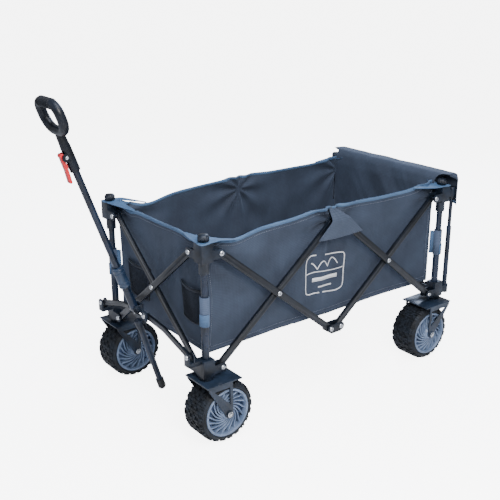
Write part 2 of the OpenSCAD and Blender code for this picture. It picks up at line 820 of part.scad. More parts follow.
stand_leg();
foot_cap();
handle_outer();
handle_collar();
handle_inner();
grip();
trigger();
basket();
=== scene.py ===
# %% [markdown]
# # A folding camp wagon
# The steel frame, the castings and the wheels' sizes come from a CAD model that is already jointed.
# This lesson adds what CAD leaves plain: sewn fabric, treaded tyres, ribbed grips, rivets and finishes.
# Everything is in metres, +X towards the pull handle, +Y to the wagon's left, the ground at z = 0.

# %% Load the frame
import bpy
import bmesh
import json
import math
import random
from mathutils import Matrix, Vector, noise

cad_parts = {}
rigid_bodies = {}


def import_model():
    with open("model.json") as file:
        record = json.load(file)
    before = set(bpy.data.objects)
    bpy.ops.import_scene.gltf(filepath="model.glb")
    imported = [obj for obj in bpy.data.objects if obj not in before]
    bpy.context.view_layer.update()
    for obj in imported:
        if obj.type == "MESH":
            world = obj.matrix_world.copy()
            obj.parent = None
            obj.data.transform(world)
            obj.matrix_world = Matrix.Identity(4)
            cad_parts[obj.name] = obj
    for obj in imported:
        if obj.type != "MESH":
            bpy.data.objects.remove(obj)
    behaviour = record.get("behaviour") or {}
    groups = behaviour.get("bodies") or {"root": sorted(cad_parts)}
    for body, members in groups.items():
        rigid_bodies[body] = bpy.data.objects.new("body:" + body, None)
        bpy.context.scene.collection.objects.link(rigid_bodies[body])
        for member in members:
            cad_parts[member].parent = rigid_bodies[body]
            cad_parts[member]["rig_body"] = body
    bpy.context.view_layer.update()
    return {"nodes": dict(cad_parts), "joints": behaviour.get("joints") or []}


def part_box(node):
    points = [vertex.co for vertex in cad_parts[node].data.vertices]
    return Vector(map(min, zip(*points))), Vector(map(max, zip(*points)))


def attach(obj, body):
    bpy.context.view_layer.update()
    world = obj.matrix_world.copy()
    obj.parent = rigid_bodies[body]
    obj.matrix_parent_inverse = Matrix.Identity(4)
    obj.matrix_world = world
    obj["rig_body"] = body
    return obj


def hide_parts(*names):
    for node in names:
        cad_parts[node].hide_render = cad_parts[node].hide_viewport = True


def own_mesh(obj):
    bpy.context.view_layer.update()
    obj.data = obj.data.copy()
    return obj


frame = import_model()
random.seed(7)
MM = 0.001

# %% [markdown]
# ## Where things are
# Places are read from the frame, so the looks follow the frame if a size changes. The post axes and
# the pivots of the scissor bars are the landmarks that almost every other piece is measured from.

# %% Landmarks
CORNERS = ("fl", "fr", "rl", "rr")
SIDES = (("left", 1), ("right", -1))
ENDS = ((1, "front"), (-1, "rear"))
UP = Vector((0, 0, 1))
WELD = 1e-6
HEAD_SEAT = 2.5 * MM


def middle(node):
    """The centre of a CAD node's box."""
    low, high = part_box(node)
    return (low + high) / 2


def signs(corner):
    """Fore and left as 1, aft and right as -1, for that corner."""
    return (1 if corner[0] == "f" else -1), (1 if corner[1] == "l" else -1)


post = {c: middle("post_tube_" + c) for c in CORNERS}
pivot = {j["name"]: Vector(j["pos_m"]) for j in frame["joints"] if "pos_m" in j}
front_x = post["fl"].x
rear_x = post["rl"].x
x_mid = (front_x + rear_x) / 2
half_x = (front_x - rear_x) / 2
side_y = post["fl"].y
low_z = pivot["left_front_low"].z
high_z = pivot["left_front_top"].z
top_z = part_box("corner_top_fl")[1].z
knob_z = top_z - 17 * MM
basket_low, basket_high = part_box("basket")
wall_y = basket_high.y - 1 * MM
wall_x = half_x - (side_y - wall_y)
floor_z = basket_low.z
print("posts", round(half_x * 2, 3), "x", round(side_y * 2, 3), "pivots", low_z, high_z, "walls", wall_x, wall_y)

# %% [markdown]
# ## Camera
# The wagon is seen from its front left corner, a little above the rim, with a short telephoto lens.

# %% Camera
camera_data = bpy.data.cameras.new("camera")
camera_data.lens = 59.2
camera = bpy.data.objects.new("camera", camera_data)
camera.location = (1.513, 1.927, 1.2815)
camera.rotation_euler = (math.radians(70.70), 0, math.radians(142.13))
bpy.context.scene.collection.objects.link(camera)
bpy.context.scene.camera = camera
print("camera", tuple(camera.location))

# %% [markdown]
# ## Helpers for materials
# Colours are written as the hex values that a paint chart gives, and turned to linear light once.
# `add` makes one shader node with its settings and its links, and the rest are built from it.


# %% Colour and node helpers
def linear(code):
    """A linear RGBA colour from an sRGB hex value such as 8e99a8."""
    parts = [int(code[i:i + 2], 16) / 255 for i in (0, 2, 4)]
    return [c / 12.92 if c <= 0.04045 else ((c + 0.055) / 1.055) ** 2.4 for c in parts] + [1.0]


def add(tree, kind, settings=None, inputs=None, links=None):
    """Adds a node. settings are its properties, inputs its values and links {input: output socket}."""
    made = tree.nodes.new(kind)
    for name, value in (settings or {}).items():
        setattr(made, name, value)
    for name, value in (inputs or {}).items():
        made.inputs[name].default_value = value
    for name, source in (links or {}).items():
        tree.links.new(source, made.inputs[name])
    return made


def finish(name, **sockets):
    """A new material whose shader has those constant values. Gives the material, its tree and shader."""
    material = bpy.data.materials.new(name)
    material.use_nodes = True
    tree = material.node_tree
    shader = tree.nodes["Principled BSDF"]
    for socket, value in sockets.items():
        shader.inputs[socket.replace("_", " ").title().replace("Ior", "IOR")].default_value = value
    return material, tree, shader


def speckle(tree, where, size, detail):
    """Noise whose lumps are about that many millimetres across."""
    return add(tree, "ShaderNodeTexNoise", inputs={"Scale": 1 / (size * MM), "Detail": detail},
               links={"Vector": where}).outputs["Fac"]


def mottle(tree, where, size, detail, dark, light, low=0.35, high=0.65):
    """Noise of that size in millimetres, run between two colours."""
    ramp = add(tree, "ShaderNodeValToRGB", links={"Fac": speckle(tree, where, size, detail)})
    ramp.color_ramp.elements[0].position = low
    ramp.color_ramp.elements[1].position = high
    ramp.color_ramp.elements[0].color = linear(dark)
    ramp.color_ramp.elements[1].color = linear(light)
    return ramp.outputs["Color"]


def spread(tree, fac, low, high):
    """A value spread from low to high by a 0 to 1 factor."""
    return add(tree, "ShaderNodeMapRange", inputs={"To Min": low, "To Max": high}, links={"Value": fac}).outputs[0]


def surface(tree, shader, colour, fac, low, high):
    """Drives the colour, and the roughness from low to high by a 0 to 1 factor."""
    tree.links.new(colour, shader.inputs["Base Color"])
    tree.links.new(spread(tree, fac, low, high), shader.inputs["Roughness"])


def bump(tree, shader, height, strength, distance):
    """Bump of that real depth in metres."""
    made = add(tree, "ShaderNodeBump", inputs={"Strength": strength, "Distance": distance},
               links={"Height": height})
    tree.links.new(made.outputs["Normal"], shader.inputs["Normal"])


# %% [markdown]
# ## Painted metal
# The tubes are powder-coated steel: a baked plastic skin with a faint orange peel about 1.5 mm
# across, soft gloss, and a little dust that dulls it in patches. The forks are pressed steel in a
# greyer coat, and the rivets are bare zinc plate.


# %% Powder coat, pressed steel and zinc plate
def powder_coat(name, dark, light, gloss):
    """Powder-coated steel: noise gives orange peel, and broad noise gives handling marks."""
    material, tree, shader = finish(name, metallic=0.0, ior=1.5, specular_ior_level=0.32, coat_weight=0.1,
                                    coat_roughness=0.2)
    where = add(tree, "ShaderNodeTexCoord").outputs["Object"]
    marks = speckle(tree, where, 45, 4.0)
    surface(tree, shader, mottle(tree, where, 60, 5.0, dark, light), marks, gloss - 0.08, gloss + 0.16)
    bump(tree, shader, speckle(tree, where, 1.5, 2.0), 0.25, 0.12 * MM)
    return material


def zinc_plate():
    """Zinc-plated steel: bright metal with fine turning marks."""
    material, tree, shader = finish("zinc_plated_steel", metallic=1.0, base_color=linear("c9cdd2"))
    where = add(tree, "ShaderNodeTexCoord").outputs["Object"]
    marks = speckle(tree, where, 3, 6.0)
    tree.links.new(spread(tree, marks, 0.2, 0.42), shader.inputs["Roughness"])
    bump(tree, shader, marks, 0.2, 0.05 * MM)
    return material


bar_coat = powder_coat("black_powder_coated_steel", "05080d", "0c121b", 0.30)
post_coat = powder_coat("blue_black_powder_coated_steel", "0a111c", "152338", 0.26)
fork_coat = powder_coat("grey_powder_coated_pressed_steel", "121a25", "212e3f", 0.30)
zinc = zinc_plate()
print("painted metals", [m.name for m in (bar_coat, post_coat, fork_coat, zinc)])

# %% [markdown]
# ## Mouldings and rubber
# The castings, the hubs, the grip and the lever are injection mouldings: nylon filled with glass, or
# ABS. The mould's spark-eroded skin is a fine even grain of about 0.8 mm, drawn here at 1.2 mm so it
# shows. The tyres are a dense black EVA rubber, with dust in broad patches.


# %% Moulded plastic and rubber
def moulding(name, dark, light, gloss, grain=1.2, depth=0.05, **sockets):
    """A moulded plastic skin: even grain from the mould, with slight colour drift."""
    material, tree, shader = finish(name, ior=1.49, **sockets)
    where = add(tree, "ShaderNodeTexCoord").outputs["Object"]
    skin = add(tree, "ShaderNodeTexVoronoi", inputs={"Scale": 1 / (grain * MM)}, links={"Vector": where})
    drift = speckle(tree, where, 35, 3.0)
    surface(tree, shader, mottle(tree, where, 40, 4.0, dark, light), drift, gloss - 0.07, gloss + 0.12)
    bump(tree, shader, skin.outputs["Distance"], 0.3, depth * MM)
    return material


def tyre_rubber():
    """EVA tyre rubber: matt, with dust that gathers in broad patches."""
    material, tree, shader = finish("black_eva_tyre", ior=1.5, specular_ior_level=0.3)
    where = add(tree, "ShaderNodeTexCoord").outputs["Object"]
    skin = speckle(tree, where, 1.6, 4.0)
    surface(tree, shader, mottle(tree, where, 22, 6.0, "0c1015", "1b232d", 0.4, 0.75), skin, 0.5, 0.78)
    bump(tree, shader, skin, 0.4, 0.25 * MM)
    return material


casting = moulding("glass_filled_nylon_casting", "0a0f17", "182230", 0.38, specular_ior_level=0.35)
hub_plastic = moulding("blue_grey_abs_hub", "52627c", "6c7d98", 0.38)
# The recessed web is the hub's own blue-grey ABS painted darker, as painted shade in its recess.
hub_web_painted_shade = moulding("blue_grey_abs_hub_web_painted_shade", "34455f", "42577a", 0.5)
grip_rubber = moulding("black_tpe_grip", "07090d", "10151d", 0.5, 0.9, 0.12, specular_ior_level=0.3)
grip_shell = moulding("black_nylon_grip_shell", "080b11", "121924", 0.36, specular_ior_level=0.3)
red_nylon = moulding("red_moulded_nylon", "b3141c", "cf2630", 0.32)
collar_plastic = moulding("blue_grey_moulded_collar", "17263a", "253850", 0.36)
foot_rubber = moulding("black_rubber_foot", "101113", "1b1d20", 0.62, 1.5, 0.1)
rubber = tyre_rubber()
print("mouldings", casting.name, hub_plastic.name, rubber.name)

# %% [markdown]
# ## Cloth
# The basket is 600-denier polyester Oxford: a basket weave of two tones, with a thread pair every
# 1 mm. That is finer than the view resolves, so the weave is drawn at 2.4 mm. The tape, the straps
# and the badge print follow each piece's own UV map, which is measured in metres along the cloth.


# %% Woven cloth
BANDS_PER_UNIT = 20


def woven(name, dark, light, thread, depth, gloss=0.82, sheen=0.25):
    """A plain weave on the piece's UVs: two crossed wave patterns, one for each set of threads."""
    material, tree, shader = finish(name, ior=1.45, sheen_weight=sheen, sheen_roughness=0.5,
                                    sheen_tint=linear("93a5c2"), specular_ior_level=0.3)
    uv = add(tree, "ShaderNodeTexCoord").outputs["UV"]
    waves = []
    for direction in ("X", "Y"):
        wave = add(tree, "ShaderNodeTexWave", {"bands_direction": direction},
                   {"Scale": 1 / (thread * MM) / BANDS_PER_UNIT * math.pi, "Distortion": 0.6, "Detail": 1.0},
                   {"Vector": uv})
        waves.append(wave.outputs["Fac"])
    cross = add(tree, "ShaderNodeMath", {"operation": "MULTIPLY"})
    tree.links.new(waves[0], cross.inputs[0])
    tree.links.new(waves[1], cross.inputs[1])
    cloud = mottle(tree, uv, 90, 6.0, dark, light, 0.2, 0.8)
    thread_tone = add(tree, "ShaderNodeMix", {"data_type": "RGBA", "blend_type": "MULTIPLY"})
    thread_tone.inputs["Factor"].default_value = 0.5
    tree.links.new(cloud, thread_tone.inputs[6])
    tree.links.new(spread(tree, cross.outputs[0], 0.55, 1.25), thread_tone.inputs[7])
    surface(tree, shader, thread_tone.outputs[2], cross.outputs[0], gloss, gloss - 0.1)
    bump(tree, shader, cross.outputs[0], 0.5, depth * MM)
    return material


oxford = woven("charcoal_polyester_oxford", "282f3c", "3a4455", 2.4, 0.25)
flap_cloth = woven("grey_polyester_oxford_flap", "333b49", "434d5e", 2.4, 0.25)
patch_cloth = woven("blue_grey_coated_corner_patch", "314f70", "45688d", 2.0, 0.2, 0.6)
tape_cloth = woven("grey_binding_tape", "3d5473", "547090", 1.6, 0.3)
strap_cloth = woven("grey_hook_and_loop_webbing", "414d61", "525f76", 1.8, 0.4)
net_cloth = woven("black_elastic_mesh", "0d0f12", "191b20", 1.2, 0.1)
print_ink = woven("white_screen_print", "c9ccd2", "e4e6ea", 2.4, 0.2, 0.7, 0.0)
thread_nylon = moulding("grey_sewing_thread", "565e6c", "6a7383", 0.7, 0.6, 0.05)
print("cloths", oxford.name, patch_cloth.name, tape_cloth.name)

# %% [markdown]
# ## Making pieces
# Each piece is built in a bmesh with its place already in its vertices, and then becomes an object
# that rides on a CAD body. `sheet_grid` bends a flat grid into a sheet of cloth, and `sweep` runs a
# small closed section along a path, which makes tape, straps, rims and spokes.


# %% Piece helpers
def piece(name, bm, material, body, smooth=True):
    """Turns a bmesh into an object that rides on a CAD body, in one appearance slot."""
    mesh = bpy.data.meshes.new(name)
    bm.to_mesh(mesh)
    bm.free()
    made = bpy.data.objects.new(name, mesh)
    bpy.context.scene.collection.objects.link(made)
    mesh.materials.append(material)
    for face in mesh.polygons:
        face.use_smooth = smooth
    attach(made, body)
    return made


def soften(made, width, angle=35, segments=2):
    """A live bevel on the edges that are sharper than angle."""
    bevel = made.modifiers.new("bevel", "BEVEL")
    bevel.width = width
    bevel.segments = segments
    bevel.limit_method = "ANGLE"
    bevel.angle_limit = math.radians(angle)
    bevel.harden_normals = True
    return made


def thicken(made, thickness, offset=0.0):
    """Gives a sheet its cloth's thickness."""
    solid = made.modifiers.new("thickness", "SOLIDIFY")
    solid.thickness = thickness
    solid.offset = offset
    return made


def grid_verts(bm, across, along):
    """A flat grid, with each vertex's place on it as two numbers from 0 to 1."""
    made = bmesh.ops.create_grid(bm, x_segments=across, y_segments=along, size=1.0)["verts"]
    return [(v, (v.co.x + 1) / 2, (v.co.y + 1) / 2) for v in made]


def sheet_grid(across, along, place, width, length):
    """A sheet of cloth: place(u, v) gives each point, and the UVs are metres on the flat cloth."""
    bm = bmesh.new()
    layer = bm.loops.layers.uv.new("UVMap")
    spots = {v: (u, w) for v, u, w in grid_verts(bm, across, along)}
    for face in bm.faces:
        for loop in face.loops:
            u, w = spots[loop.vert]
            loop[layer].uv = (u * width, w * length)
    for vert, (u, w) in spots.items():
        vert.co = place(u, w)
    return bm


def sweep(bm, path, section, closed=False):
    """Runs a closed section along a path of (point, across, out) and closes its ends."""
    layer = bm.loops.layers.uv.verify()
    count = len(section)
    last = len(path) if closed else len(path) - 1
    spots = {}
    for vert, u, w in grid_verts(bm, count, last):
        spots[vert] = (u, w)
        point, across, out = path[round(w * last) % len(path)]
        a, b = section[round(u * count) % count]
        vert.co = point + across * a + out * b
    length = sum((path[i][0] - path[i - 1][0]).length for i in range(1, len(path)))
    girth = sum(math.dist(section[i], section[i - 1]) for i in range(count))
    for face in {f for v in spots for f in v.link_faces}:
        for loop in face.loops:
            u, w = spots[loop.vert]
            loop[layer].uv = (u * girth, w * length)
    bmesh.ops.remove_doubles(bm, verts=list(spots), dist=WELD)
    if not closed:
        bmesh.ops.holes_fill(bm, edges=[e for e in bm.edges if e.is_boundary], sides=count)
    return bm


def flat_section(width, thick):
    """The section of a tape: a flat box with a middle point on each face."""
    w, t = width / 2, thick / 2
    return [(-w, -t), (0, -t), (w, -t), (w, t), (0, t), (-w, t)]


def round_section(radius, count=8):
    """A round section."""
    turns = [2 * math.pi * i / count for i in range(count)]
    return [(radius * math.cos(a), radius * math.sin(a)) for a in turns]


def outward(bm):
    """The bmesh, with every face turned outwards."""
    bmesh.ops.recalc_face_normals(bm, faces=bm.faces)
    return bm


def closed_up(bm):
    """Merges doubles, drops loose edges and turns every face outwards."""
    bmesh.ops.remove_doubles(bm, verts=bm.verts, dist=WELD)
    bmesh.ops.delete(bm, geom=[e for e in bm.edges if e.is_wire], context="EDGES")
    return outward(bm)


def spun(profile, steps, axis="Y"):
    """A closed ring-shaped solid: the profile's (radius, place on the axis) points, spun right round."""
    bm = bmesh.new()
    verts = [bm.verts.new((r, a, 0)) for r, a in profile]
    edges = [bm.edges.new((verts[i - 1], verts[i])) for i in range(len(verts))]
    bmesh.ops.spin(bm, geom=verts + edges, cent=(0, 0, 0), axis=(0, 1, 0), angle=2 * math.pi, steps=steps,
                   use_merge=True)
    closed_up(bm)
    if axis == "Z":
        bmesh.ops.rotate(bm, verts=bm.verts, matrix=Matrix.Rotation(math.pi / 2, 3, "X"))
    return bm


def moved(bm, offset):
    """The bmesh, moved."""
    bmesh.ops.translate(bm, verts=bm.verts, vec=offset)
    return bm


def turned(bm, out):
    """The bmesh, turned so that its upright axis points that way."""
    bmesh.ops.rotate(bm, verts=bm.verts, matrix=UP.rotation_difference(Vector(out)).to_matrix())
    return bm


def soft_copy(node, material, width=1.0 * MM):
    """A copy of a CAD node with its triangles merged and its sharp edges rounded, in its place."""
    bm = bmesh.new()
    bm.from_mesh(frame["nodes"][node].data)
    bmesh.ops.remove_doubles(bm, verts=bm.verts, dist=WELD)
    bmesh.ops.dissolve_limit(bm, angle_limit=math.radians(1), verts=bm.verts, edges=bm.edges)
    made = piece(node + "_soft", bm, material, frame["nodes"][node]["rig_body"])
    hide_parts(node)
    return soften(made, width)


print("helpers ready")

# %% [markdown]
# ## Wheels
# A beach-type wheel: a wide foamed tyre on a moulded hub. The tyre is one profile spun round the
# axle, and its tread is made as a mould makes it: two faces in three round the crown are inset and
# pushed out into blocks, and every other lane is shifted. The hub is a rim, a boss, a web and
# eighteen curved blades that swirl out to the rim.

# %% Tyre
TREAD_STEPS = 66
BLOCK_HEIGHT = 4.5 * MM
TYRE_DEPTH = 21 * MM


def tyre(corner):
    """A treaded tyre that stands for the CAD tyre of one corner."""
    low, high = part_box("tyre_" + corner)
    radius = (high.z - low.z) / 2
    half = (high.y - low.y) / 2
    hub = radius - TYRE_DEPTH
    base = radius - BLOCK_HEIGHT
    rows = [(base, half * t) for t in (-0.66, -0.36, -0.12, 0.12, 0.36, 0.66)]
    shoulder = [(base - 5 * MM, half * 0.86), (base - 11 * MM, half * 0.96), (hub + 2 * MM, half * 0.96)]
    bead = [(hub, half * 0.93), (hub, -half * 0.93)]
    profile = [(r, -a) for r, a in reversed(shoulder)] + rows + shoulder + bead
    bm = spun(profile, TREAD_STEPS)
    blocks = []
    for face in bm.faces:
        spot = face.calc_center_median()
        if math.hypot(spot.x, spot.z) < base - 4 * MM or abs(face.normal.y) > 0.8:
            continue
        turn = (math.atan2(spot.z, spot.x) / (2 * math.pi) % 1) * TREAD_STEPS
        lane = round(abs(spot.y) / half * 4)
        if int(turn + 1e-3 + (lane % 2) * 2) % 3:
            blocks.append(face)
    bmesh.ops.inset_individual(bm, faces=blocks, thickness=1.0 * MM, depth=0)
    pushed = bmesh.ops.extrude_discrete_faces(bm, faces=blocks)["faces"]
    for face in pushed:
        out = Vector((face.normal.x, face.normal.y * 0.4, face.normal.z)).normalized()
        bmesh.ops.translate(bm, verts=face.verts, vec=out * (BLOCK_HEIGHT - 0.6 * MM))
    made = piece("tyre_tread_" + corner, moved(bm, (low + high) / 2), rubber, "wheel_" + corner,
                 smooth=False)
    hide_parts("tyre_" + corner)
    return made


for corner in CORNERS:
    made = tyre(corner)
    print(made.name, len(made.data.polygons), "faces")

# %% Hub
BLADES = 18


def swirl(start, radius_in, radius_out, sweep_angle, side, depth):
    """The path of one blade across the hub's face: out from the boss, turning as it goes."""
    path = []
    for i in range(9):
        t = i / 8
        radius = radius_in + (radius_out - radius_in) * t
        angle = start + sweep_angle * math.sin(t * math.pi / 2)
        point = Vector((radius * math.cos(angle), side * depth, radius * math.sin(angle)))
        across = Vector((-math.sin(angle + 0.5), 0, math.cos(angle + 0.5)))
        path.append((point, across * (1 - 0.25 * math.sin(t * math.pi)), Vector((0, 1, 0))))
    return path


def hub(corner):
    """A swirl-bladed hub: rim, boss, blades and a recessed web on both sides."""
    def part(kind, bm, material):
        return piece(f"hub_{kind}_{corner}", moved(bm, centre), material, "wheel_" + corner)

    low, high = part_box("tyre_" + corner)
    centre = (low + high) / 2
    half = (high.y - low.y) / 2
    rim_out = (high.z - low.z) / 2 - 21.2 * MM
    rim = spun([(rim_out, -half * 0.93), (rim_out, half * 0.93), (rim_out - 1.5 * MM, half * 0.97),
                (rim_out - 6 * MM, half * 0.97), (rim_out - 8 * MM, half * 0.9), (rim_out - 8 * MM, -half * 0.9),
                (rim_out - 6 * MM, -half * 0.97), (rim_out - 1.5 * MM, -half * 0.97)], 96)
    ring = part("rim", rim, hub_plastic)
    soften(ring, 0.8 * MM)
    boss = spun([(6.2 * MM, -half), (16 * MM, -half), (19 * MM, -half + 4 * MM), (24 * MM, -half * 0.72),
                 (24 * MM, half * 0.72), (19 * MM, half - 4 * MM), (16 * MM, half), (6.2 * MM, half)], 64)
    soften(part("boss", boss, hub_plastic), 1.0 * MM)
    web = spun([(20 * MM, -half * 0.58), (rim_out - 7 * MM, -half * 0.62), (rim_out - 7 * MM, half * 0.62),
                (20 * MM, half * 0.58)], 64)
    # The web takes the hub plastic darkened as painted shade.
    part("web", web, hub_web_painted_shade)
    bm = bmesh.new()
    bm.loops.layers.uv.verify()
    for side in (-1, 1):
        for i in range(BLADES):
            path = swirl(2 * math.pi * i / BLADES, 20 * MM, rim_out - 5 * MM, 1.15, side, half * 0.72)
            sweep(bm, path, [(-3.6 * MM, -6 * MM), (3.6 * MM, -6 * MM), (2.6 * MM, 6 * MM), (-2.6 * MM, 6 * MM)])
    soften(part("blades", outward(bm), hub_plastic), 1.0 * MM, 30, 2)
    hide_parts("hub_" + corner)
    return ring


for corner in CORNERS:
    print(hub(corner).name)

# %% [markdown]
# ## The moulded and pressed frame parts
# CAD gives their shapes with razor edges. A moulding has rounded edges that catch a thin highlight,
# so each one is copied, its triangles are merged back into faces, and a bevel of about 1 mm rounds
# it. The scissor bars and the front arms are rolled tube, so their bevel is wider.

# %% Castings, forks, links, bars and arms
for corner in CORNERS:
    for part in ("corner_low_", "corner_top_"):
        soft_copy(part + corner, casting)
    soft_copy("fork_" + corner, fork_coat, 0.8 * MM)
for link in ("link_left_low", "link_left_top", "link_right_low", "link_right_top"):
    soft_copy(link, casting, 0.7 * MM)
soft_copy("coupler", casting, 0.8 * MM)
bars = [name for name in frame["nodes"] if name.startswith(("bar_", "arm_"))]
for name in bars:
    soft_copy(name, bar_coat, 1.4 * MM)
print("softened", 4 * 3 + 5 + len(bars))


# %% Tubes keep their CAD meshes
def paint(node, material):
    """Gives a CAD node that keeps its mesh one material."""
    node.data.materials.clear()
    node.data.materials.append(material)


for name, node in frame["nodes"].items():
    if name.startswith(("post_", "guide_", "handle_inner", "handle_outer", "stand_leg")):
        paint(node, post_coat)
for name, finish_used in (("handle_collar", collar_plastic), ("foot_cap", foot_rubber)):
    paint(frame["nodes"][name], finish_used)
print("finished tubes")

# %% [markdown]
# ## Rivets, nuts and knobs
# Every pivot is a semi-tubular rivet with a low domed head and a dimple left by the setting tool.
# Heads are spun from one profile and set on the outer face of each cheek or bar.

# %% Rivet heads
HEAD_R = 7.4 * MM


def rivet(name, at, out, body, radius=HEAD_R, height=3.4 * MM):
    """A domed rivet head at a point, facing out."""
    profile = [(0, -0.4 * MM), (radius, -0.4 * MM), (radius, 0.5 * MM), (radius * 0.86, height * 0.75),
               (radius * 0.55, height), (radius * 0.3, height), (radius * 0.22, height * 0.72), (0, height * 0.7)]
    return piece(name, moved(turned(spun(profile, 24, "Z"), out), Vector(at)), zinc, body)


arm_reach = abs(pivot["left_front_low"].x - front_x)
link_reach = abs(pivot["left_link_top"].x - x_mid)
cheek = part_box("corner_low_fl")[1].y - side_y - HEAD_SEAT
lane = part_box("bar_left_front_outer")[1].y - side_y - HEAD_SEAT
count = 0
for corner in CORNERS:
    fore, left = signs(corner)
    for level, z in (("low", low_z), ("top", high_z)):
        body = f"corner_{level}_{corner}"
        x, y = post[corner].x, post[corner].y
        rivet(f"rivet_side_{level}_{corner}", (x - fore * arm_reach, y + left * cheek, z), (0, left, 0), body)
        rivet(f"rivet_end_{level}_{corner}", (x + fore * cheek, y - left * arm_reach, z), (fore, 0, 0), body)
        count += 2
for side, left in SIDES:
    for level, z in (("low", low_z), ("top", high_z)):
        body = "chassis" if (side, level) == ("left", "low") else f"link_{side}_{level}"
        for fore in (1, -1):
            at = (x_mid + fore * link_reach, left * (side_y + cheek), z)
            rivet(f"rivet_link_{side}_{level}_{'front' if fore > 0 else 'rear'}", at, (0, left, 0), body)
            count += 1
    for fore, end in ENDS:
        x = x_mid + fore * (link_reach + half_x - arm_reach) / 2
        at = (x, left * (side_y + lane), (low_z + high_z) / 2)
        rivet(f"rivet_cross_{side}_{end}", at, (0, left, 0), f"bar_{side}_{end}_outer")
        count += 1
for fore, end in ENDS:
    x = (front_x if fore > 0 else rear_x) + fore * lane
    rivet(f"rivet_cross_{end}", (x, 0, (low_z + high_z) / 2), (fore, 0, 0), f"bar_{end}_outer")
    count += 1
print("rivet heads", count)

# %% Knobs and axle nuts
KNOB_FACETS = 48
for corner in CORNERS:
    bm = spun([(0, 0.2 * MM), (14.6 * MM, 0.2 * MM), (14.8 * MM, 13 * MM), (13 * MM, 17 * MM), (5 * MM, 18.2 * MM),
               (0, 18.2 * MM)], KNOB_FACETS, "Z")
    ribs = [f for f in bm.faces if abs(f.normal.z) < 0.3 and math.hypot(*f.calc_center_median().xy) > 14 * MM]
    ribs = [f for f in ribs if int((math.atan2(f.calc_center_median().y, f.calc_center_median().x) / math.tau
                                    + 0.5) * KNOB_FACETS) % 3]
    bmesh.ops.inset_individual(bm, faces=ribs, thickness=0.25 * MM, depth=1.1 * MM)
    piece("knob_" + corner, moved(bm, Vector((post[corner].x, post[corner].y, knob_z))), casting,
          "corner_top_" + corner)
    wheel = middle("tyre_" + corner)
    low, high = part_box("fork_" + corner)
    for side, y in ((-1, low.y), (1, high.y)):
        nut = spun([(0, 0), (10 * MM, 0), (10 * MM, 5 * MM), (6.5 * MM, 6.4 * MM), (4 * MM, 8 * MM), (0, 8.4 * MM)],
                   6, "Z")
        turned(nut, (0, side, 0))
        body = "fork_" + corner if corner[0] == "f" else "corner_low_" + corner
        made = piece(f"axle_nut_{corner}_{'in' if side * post[corner].y < 0 else 'out'}",
                     moved(nut, Vector((wheel.x, y - side * 7.2 * MM, wheel.z))), zinc, body,
                     smooth=False)
        soften(made, 0.5 * MM, 25)
print("knobs and nuts on", len(CORNERS), "corners")

# %% [markdown]
# ## The basket
# The real basket is five panels of Oxford cloth hung from the four top castings and the two top
# links. Cloth hung from points isn't flat: its rim dips between them, folds fan out from each point,
# and the panel bellies a little below. Each panel here is one curved sheet built from those rules.
# When the wagon folds, the real cloth crumples along the fold; here each panel rides on one body.

# %% The body each wall rides on
CLOTH = 1.4 * MM
FOLD_X = 0.30
FOLD_Y = 0.31
WALLS = {
    "left": ("link_left_top", (1, 0, 0), (x_mid, 0, 0), FOLD_X),
    "right": ("link_right_top", (1, 0, 0), (x_mid, 0, 0), FOLD_X),
    "front": ("corner_top_fl", (0, 1, 0), (0, wall_y, 0), FOLD_Y),
    "rear": ("corner_top_rl", (0, 1, 0), (0, wall_y, 0), FOLD_Y),
}


def soft_piece(name, bm, material, wall):
    """A piece of the basket that rides with its wall."""
    body, axis, anchor, keep = WALLS[wall]
    made = piece(name, bm, material, body)
    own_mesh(made)
    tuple(axis)
    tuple(anchor)
    return made


def fan(x, z, at_x, at_z, reach, ridges):
    """Folds that fan out from the point a cloth hangs from, from -1 to 1."""
    away = math.hypot(x - at_x, z - at_z)
    turn = math.atan2(z - at_z, x - at_x)
    drift = 3 * noise.noise((x * 4, z * 4, 1))
    return math.exp(-away / reach) * min(1, away / 0.03) * math.sin(turn * ridges + drift)


def ripple(x, z, across, along, seed):
    """Uneven folds with that many waves a metre in each direction, from about -1 to 1."""
    return noise.noise((x * across, z * along, seed)) + 0.5 * noise.noise((x * across * 2.2, z * along * 2, seed + 5))


def held_in(out, limit):
    """Cloth that would swell past the bars is pressed flat against them, at that limit."""
    return limit * math.tanh(out / limit) if out > 0 else max(-24 * MM, out)


# %% Side walls
def side_top(t):
    """Height of a side wall's rim at t from -1 at the rear to 1 at the front."""
    dip = 26 * MM * math.exp(-((t - 0.80) / 0.17) ** 2) + 9 * MM * math.exp(-((t + 0.80) / 0.2) ** 2)
    sag = 10 * MM * math.sin(math.pi * abs(t)) ** 2
    return top_z - 12 * MM - dip - sag + 12 * MM * max(0, -t)


def side_bottom(t):
    """Height of a side wall's lower seam."""
    return floor_z + 1 * MM + 7 * MM * math.sin(math.pi * (t + 1) / 2) ** 2 * abs(math.sin(2.2 * t))


def side_wall(left, lift=0.0):
    """The place function of one side wall, and of anything sewn on it at that lift."""
    def place(u, v):
        t = 2 * u - 1
        z = side_bottom(t) + (side_top(t) - side_bottom(t)) * v
        pinch = 9 * MM * math.sin(math.pi * v) ** 2 * abs(t) ** 6
        x = x_mid + t * (wall_x - pinch)
        loose = math.sin(math.pi * (t + 1) / 2) * math.sin(math.pi * min(1, v * 1.02)) ** 0.7
        belly = 4 * MM * math.sin(math.pi * v) * math.sin(math.pi * abs(t)) - 5 * MM * loose
        folds = sum(8 * MM * fan(x, z, x_mid + s * wall_x, high_z, 0.15, 8) for s in (-1, 1))
        folds += 9 * MM * fan(x, z, x_mid, high_z, 0.12, 8)
        folds += 7 * MM * ripple(x + 0.4 * abs(t) * z, z, 9, 3, 3 + left) * max(0, loose)
        folds += 2.5 * MM * ripple(x, z, 24, 9, 8 + left) * max(0, loose)
        out = held_in(belly + folds - 2 * MM, 4.5 * MM)
        return Vector((x, left * (wall_y + out + lift), z))
    return place


